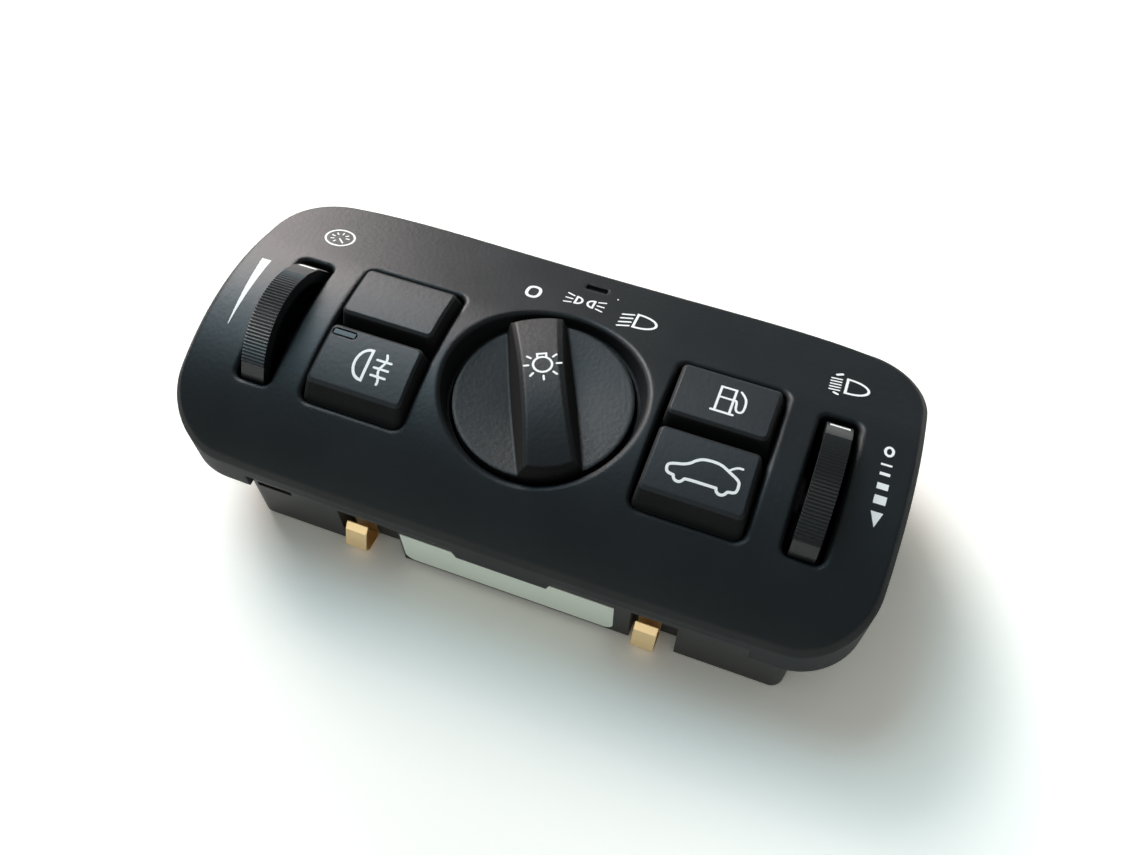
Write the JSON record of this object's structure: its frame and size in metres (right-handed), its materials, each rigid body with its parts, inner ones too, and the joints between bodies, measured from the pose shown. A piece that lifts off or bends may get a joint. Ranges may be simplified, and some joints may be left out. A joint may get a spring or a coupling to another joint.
{
  "type": "headlight switch",
  "caption": "Dashboard headlight switch with a rotary knob, push buttons, two thumbwheels and a snap-in housing with a plug at its rear.",
  "frame": {"origin": "middle of the flat rear of the housing, below the middle of the front moulding", "axes": "+X right along the panel, +Y up the panel, +Z out of its face towards the driver"},
  "size_m": [0.1632, 0.077, 0.047],
  "materials": {
    "soft_black": "soft-touch satin black",
    "knob_black": "soft-touch satin black",
    "wheel_black": "fine ribbed black",
    "cap_grey": "soft-touch satin black",
    "cap_black": "soft-touch satin black",
    "smoked_lens": "smoked clear plastic",
    "housing_black": "grained black moulding",
    "clip_brass": "bare spring brass",
    "label_film": "printed film, left blank",
    "board_green": "green solder resist",
    "switch_body": "moulded black",
    "white_nylon": "natural nylon",
    "spring_steel": "bright spring strip",
    "clear_guide": "clear moulded light guide",
    "lamp_white": "white lamp body",
    "pin_metal": "tinned pins",
    "screw_steel": "zinc plated"
  },
  "bodies": {
    "housing": {"bezel": "soft_black", "blank_cap": "cap_grey", "status_window": "smoked_lens", "rear_housing": "housing_black", "bottom_left_clip": "clip_brass", "bottom_right_clip": "clip_brass", "top_left_clip": "clip_brass", "top_right_clip": "clip_brass", "label": "label_film", "circuit_board": "board_green", "rotary_switch": "switch_body", "detent_spring": "spring_steel", "left_potentiometer": "switch_body", "right_potentiometer": "switch_body", "fog_switch": "switch_body", "fuel_switch": "switch_body", "boot_switch": "switch_body", "light_guide": "clear_guide", "lamps": "lamp_white", "connector_header": "housing_black", "connector_pins": "pin_metal", "housing_screws": "screw_steel"},
    "knob": {"knob": "knob_black", "knob_shaft": "white_nylon"},
    "left_wheel": {"left_wheel": "wheel_black"},
    "right_wheel": {"right_wheel": "wheel_black"},
    "fog_button": {"fog_button": "cap_black", "fog_indicator": "smoked_lens", "fog_switch_stem": "white_nylon"},
    "fuel_button": {"fuel_button": "cap_black", "fuel_switch_stem": "white_nylon"},
    "boot_button": {"boot_button": "cap_black", "boot_switch_stem": "white_nylon"}
  },
  "joints": [
    {"name": "knob_turn", "type": "hinge", "parent": "housing", "child": "knob", "pos_m": [0, -0.0026, 0.035], "axis": [0, 0, 1], "range_deg": [-51, 0]},
    {"name": "left_wheel_turn", "type": "hinge", "parent": "housing", "child": "left_wheel", "pos_m": [-0.06345, -0.0042, 0.0287], "axis": [1, 0, 0], "range_deg": [0, 88]},
    {"name": "right_wheel_turn", "type": "hinge", "parent": "housing", "child": "right_wheel", "pos_m": [0.06345, -0.0042, 0.0287], "axis": [1, 0, 0], "range_deg": [0, 88]},
    {"name": "fog_press", "type": "slide", "parent": "housing", "child": "fog_button", "axis": [0, 0, -1], "range_m": [0, 0.0015], "stiffness_N_per_m": 1200, "springref_m": -0.0004},
    {"name": "fuel_press", "type": "slide", "parent": "housing", "child": "fuel_button", "axis": [0, 0, -1], "range_m": [0, 0.0015], "stiffness_N_per_m": 1200, "springref_m": -0.0004},
    {"name": "boot_press", "type": "slide", "parent": "housing", "child": "boot_button", "axis": [0, 0, -1], "range_m": [0, 0.0015], "stiffness_N_per_m": 1200, "springref_m": -0.0004}
  ]
}
